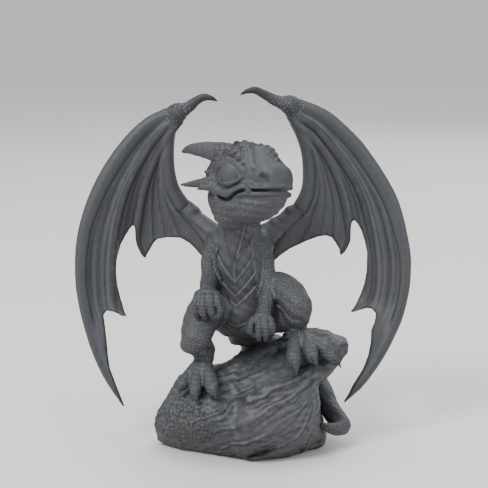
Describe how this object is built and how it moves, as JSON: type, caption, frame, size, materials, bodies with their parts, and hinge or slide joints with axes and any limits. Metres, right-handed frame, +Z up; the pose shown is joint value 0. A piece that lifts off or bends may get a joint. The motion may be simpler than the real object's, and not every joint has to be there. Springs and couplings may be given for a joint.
{
  "type": "miniature figure",
  "caption": "Hatchling dragon with raised wings crouching on a weathered rock, a cast tabletop figure glued up from separate pieces.",
  "frame": {"origin": "on the flat underside of the rock, under the middle of the figure", "axes": "+Z up, -Y the way the chest faces, +X towards the dragon's left wing"},
  "size_m": [0.089, 0.0506, 0.0938],
  "materials": {
    "resin": "matte bluish-grey casting resin, unpainted"
  },
  "bodies": {
    "root": {"rock_base": "resin", "torso": "resin", "head": "resin", "left_horn": "resin", "right_horn": "resin", "left_arm": "resin", "right_arm": "resin", "left_leg": "resin", "right_leg": "resin", "left_wing_arm": "resin", "right_wing_arm": "resin", "left_wing": "resin", "right_wing": "resin", "tail": "resin", "tail_tip": "resin"}
  },
  "joints": []
}
